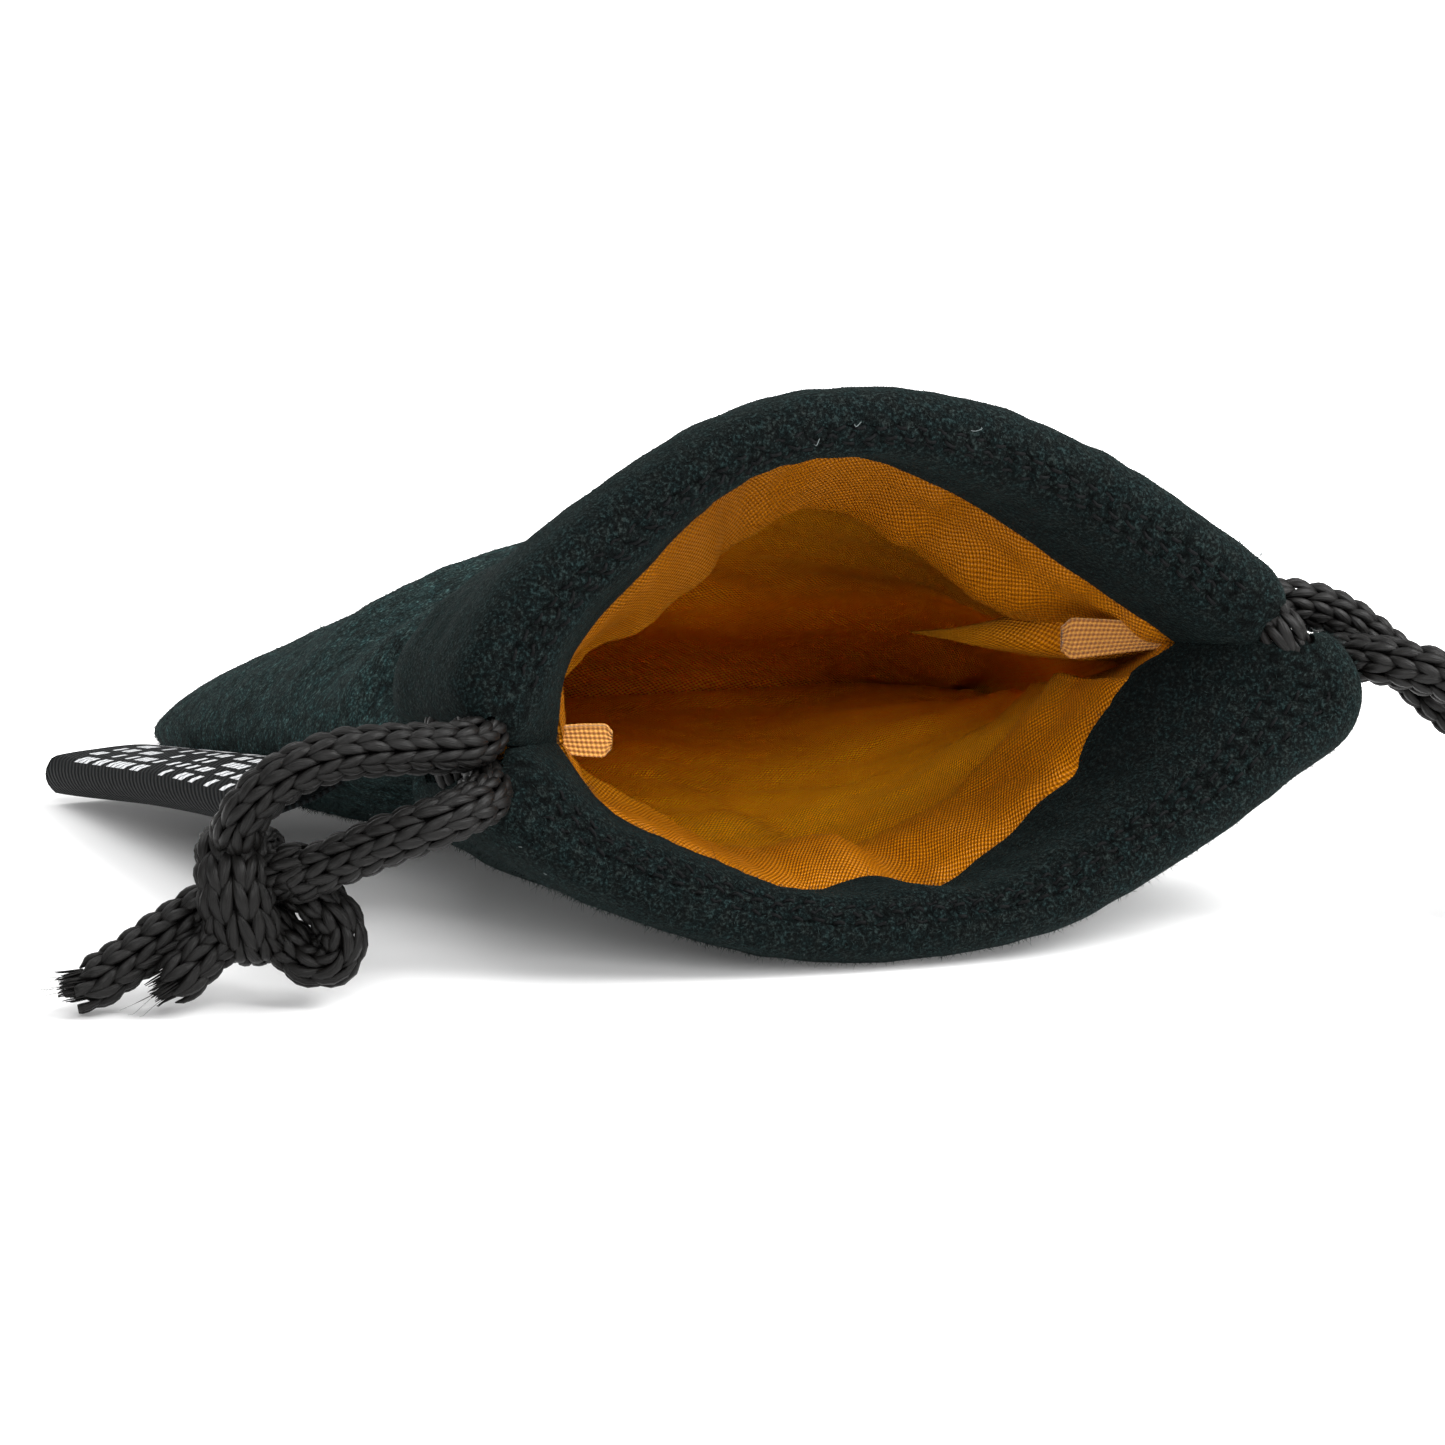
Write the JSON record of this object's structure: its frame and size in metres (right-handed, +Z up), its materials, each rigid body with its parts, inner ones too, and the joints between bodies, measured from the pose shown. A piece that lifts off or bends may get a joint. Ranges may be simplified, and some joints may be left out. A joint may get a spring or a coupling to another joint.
{
  "type": "drawstring dice bag",
  "caption": "Small lined fleece drawstring pouch lying open on its side, with two knitted draw cords knotted at the sides and a folded label in the side seam.",
  "frame": {"origin": "centre of the footprint of the bag without its free cords, on the surface that the bag lies on", "axes": "+X across the mouth from the label side to the plain side, +Y from the mouth to the bottom seam, +Z up"},
  "size_m": [0.172, 0.1363, 0.0568],
  "materials": {
    "fleece": "short-napped teal-black wool-like fleece, matt, with a soft grazing sheen",
    "lining": "fine plain-woven amber lining with a satin glint",
    "twill": "orange-tan twill tape",
    "cord": "knitted black polypropylene cord with open stitches and a satin filament",
    "label": "black damask-woven label with a plain pale geometric pattern"
  },
  "bodies": {
    "bag": {"outer_lower_panel": "fleece", "lower_hem": "fleece", "lining_lower_panel": "lining", "left_seam_tape": "twill", "right_seam_tape": "twill", "left_cord_lower_run": "cord", "right_cord_lower_run": "cord", "left_cord_turn": "cord", "right_cord_turn": "cord"},
    "upper_lip": {"outer_upper_panel": "fleece", "upper_hem_crown": "fleece", "upper_hem_left_shoulder": "fleece", "upper_hem_right_shoulder": "fleece", "lining_upper_panel": "lining", "left_cord_upper_run": "cord", "right_cord_upper_run": "cord"},
    "left_cord": {"left_cord_upper_strand": "cord", "left_cord_lower_strand": "cord", "left_knot": "cord", "left_knot_bight": "cord", "left_long_tail": "cord", "left_short_tail": "cord"},
    "right_cord": {"right_cord_upper_strand": "cord", "right_cord_lower_strand": "cord", "right_knot": "cord", "right_knot_bight": "cord", "right_long_tail": "cord", "right_short_tail": "cord"},
    "label": {"woven_label": "label"}
  },
  "joints": [
    {"name": "mouth_close", "type": "hinge", "parent": "bag", "child": "upper_lip", "pos_m": [0.00645, 0.0539, 0.03], "axis": [1, 0, 0], "range_deg": [-3, 17], "deforming": ["outer_upper_panel", "upper_hem_left_shoulder", "upper_hem_right_shoulder", "lining_upper_panel", "left_cord_upper_run", "right_cord_upper_run", "left_cord_turn", "right_cord_turn"]},
    {"name": "left_pull", "type": "slide", "parent": "bag", "child": "left_cord", "axis": [-1, 0, 0], "range_m": [-0.0025, 0.0125], "deforming": ["left_cord_upper_strand", "left_cord_lower_strand"]},
    {"name": "right_pull", "type": "slide", "parent": "bag", "child": "right_cord", "axis": [1, 0, 0], "range_m": [-0.0025, 0.0125], "deforming": ["right_cord_upper_strand", "right_cord_lower_strand"]},
    {"name": "label_flap", "type": "hinge", "parent": "bag", "child": "label", "pos_m": [-0.03526, -0.0246, 0.0144], "axis": [-0.1426, 0.9738, -0.1772], "range_deg": [-6, 75]}
  ],
  "couplings": [
    {"joint": "left_pull", "follows": "mouth_close", "m_per_rad": 0.04},
    {"joint": "right_pull", "follows": "mouth_close", "m_per_rad": 0.04}
  ]
}
